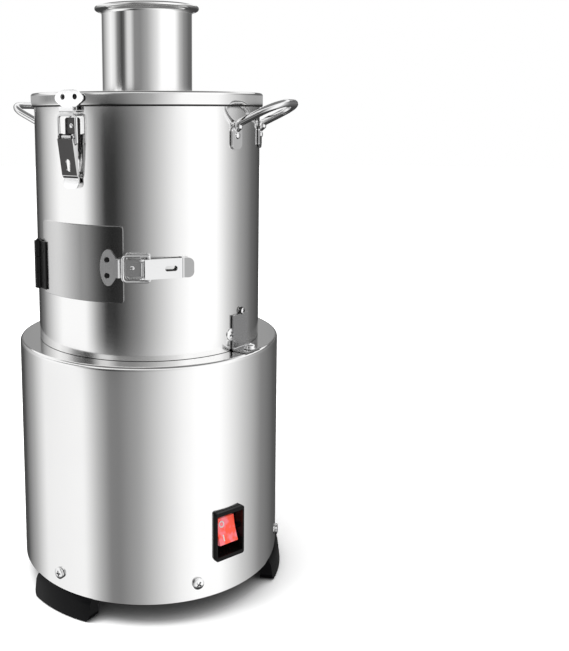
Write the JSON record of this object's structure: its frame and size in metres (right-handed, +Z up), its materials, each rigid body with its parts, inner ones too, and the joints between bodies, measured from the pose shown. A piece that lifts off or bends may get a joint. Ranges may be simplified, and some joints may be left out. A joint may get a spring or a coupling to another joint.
{
  "type": "garlic peeling machine",
  "caption": "Upright drum-shaped electric garlic peeler: a motor base on feet, a peeling barrel with a latched side door, and a latched lid with a feed tube.",
  "frame": {"origin": "on the floor under the middle of the machine", "axes": "+Z up the machine's axis; the side door faces -Y; +X to the machine's right hand when the door is seen from the front"},
  "size_m": [0.2578, 0.2292, 0.4789],
  "materials": {
    "drum_steel": "satin polished stainless steel sheet with a faint upright grain",
    "door_steel": "fine satin stainless steel sheet",
    "bright_steel": "bright polished",
    "plate_steel": "plain rolled sheet",
    "motor_iron": "painted dark grey",
    "bearing_steel": "ground",
    "foot_plastic": "glossy black",
    "switch_plastic": "semi-gloss black",
    "rocker_red": "clear red, lit from inside",
    "hinge_black": "satin black",
    "gland_plastic": "satin black",
    "fan_plastic": "moulded",
    "capacitor_shell": "moulded",
    "silicone": "milky food-grade silicone"
  },
  "bodies": {
    "base": {"barrel": "drum_steel", "barrel_bracket_1": "bright_steel", "barrel_bracket_2": "bright_steel", "base_screw_1": "bright_steel", "base_screw_2": "bright_steel", "base_screw_3": "bright_steel", "base_screw_4": "bright_steel", "base_screw_5": "bright_steel", "base_screw_6": "bright_steel", "base_shell": "drum_steel", "bottom_plate": "plate_steel", "bracket_bolt_1": "bright_steel", "bracket_bolt_2": "bright_steel", "capacitor_clip": "plate_steel", "cord_gland": "gland_plastic", "door_latch_base": "bright_steel", "door_latch_pin": "bright_steel", "foot_1": "foot_plastic", "foot_2": "foot_plastic", "foot_3": "foot_plastic", "handle_left": "bright_steel", "handle_right": "bright_steel", "hinge_fixed_leaf": "hinge_black", "hinge_pin": "hinge_black", "lid_latch_base_front": "bright_steel", "lid_latch_base_rear": "bright_steel", "lid_latch_pin_front": "bright_steel", "lid_latch_pin_rear": "bright_steel", "lower_bearing": "bearing_steel", "motor_end_bell": "motor_iron", "motor_housing": "motor_iron", "run_capacitor": "capacitor_shell", "shaft_seal": "hinge_black", "switch_bezel": "switch_plastic", "upper_bearing": "bearing_steel"},
    "lid": {"lid": "drum_steel", "feed_tube": "drum_steel", "lid_gasket": "silicone", "lid_strike_front": "bright_steel", "lid_strike_rear": "bright_steel"},
    "door": {"door_panel": "door_steel", "hinge_door_leaf": "hinge_black", "door_strike": "bright_steel"},
    "rotor": {"motor_shaft": "bearing_steel", "motor_rotor": "motor_iron", "cooling_fan": "fan_plastic", "peeling_disc": "plate_steel", "silicone_paddles": "silicone", "clamp_nut": "bright_steel"},
    "switch_rocker": {"switch_rocker": "rocker_red"},
    "door_latch_lever": {"door_latch_lever": "bright_steel"},
    "door_latch_bail": {"door_latch_bail": "bright_steel"},
    "front_latch_lever": {"lid_latch_lever_front": "bright_steel"},
    "front_latch_bail": {"lid_latch_bail_front": "bright_steel"},
    "rear_latch_lever": {"lid_latch_lever_rear": "bright_steel"},
    "rear_latch_bail": {"lid_latch_bail_rear": "bright_steel"}
  },
  "joints": [
    {"name": "lid_lift", "type": "slide", "parent": "base", "child": "lid", "axis": [0, 0, 1], "range_m": [0, 0.12]},
    {"name": "door_hinge", "type": "hinge", "parent": "base", "child": "door", "pos_m": [-0.04732, -0.08502, 0.2722], "axis": [0, 0, -1], "range_deg": [0, 110]},
    {"name": "rotor_spin", "type": "hinge", "parent": "base", "child": "rotor", "pos_m": [0, 0, 0.2504], "axis": [0, 0, 1], "continuous": true},
    {"name": "switch_rock", "type": "hinge", "parent": "base", "child": "switch_rocker", "pos_m": [0.09826, -0.03557, 0.066], "axis": [0.3404, 0.9403, 0], "range_deg": [0, 34]},
    {"name": "door_lever_throw", "type": "hinge", "parent": "base", "child": "door_latch_lever", "pos_m": [0.05625, -0.0828, 0.2775], "axis": [0, 0, -1], "range_deg": [0, 120]},
    {"name": "door_bail_swing", "type": "hinge", "parent": "door_latch_lever", "child": "door_latch_bail", "pos_m": [0.05929, -0.0787, 0.2775], "axis": [0, 0, -1], "range_deg": [-156, 0]},
    {"name": "front_lever_throw", "type": "hinge", "parent": "base", "child": "front_latch_lever", "pos_m": [0, -0.1001, 0.3748], "axis": [-1, 0, 0], "range_deg": [0, 120]},
    {"name": "front_bail_swing", "type": "hinge", "parent": "front_latch_lever", "child": "front_latch_bail", "pos_m": [0, -0.0991, 0.3698], "axis": [-1, 0, 0], "range_deg": [-156, 0]},
    {"name": "rear_lever_throw", "type": "hinge", "parent": "base", "child": "rear_latch_lever", "pos_m": [0, 0.1001, 0.372], "axis": [1, 0, 0], "range_deg": [0, 120]},
    {"name": "rear_bail_swing", "type": "hinge", "parent": "rear_latch_lever", "child": "rear_latch_bail", "pos_m": [0, 0.0991, 0.367], "axis": [1, 0, 0], "range_deg": [-156, 0]}
  ],
  "couplings": [
    {"joint": "door_bail_swing", "follows": "door_lever_throw", "ratio": -1.3},
    {"joint": "front_bail_swing", "follows": "front_lever_throw", "ratio": -1.3},
    {"joint": "rear_bail_swing", "follows": "rear_lever_throw", "ratio": -1.3}
  ]
}
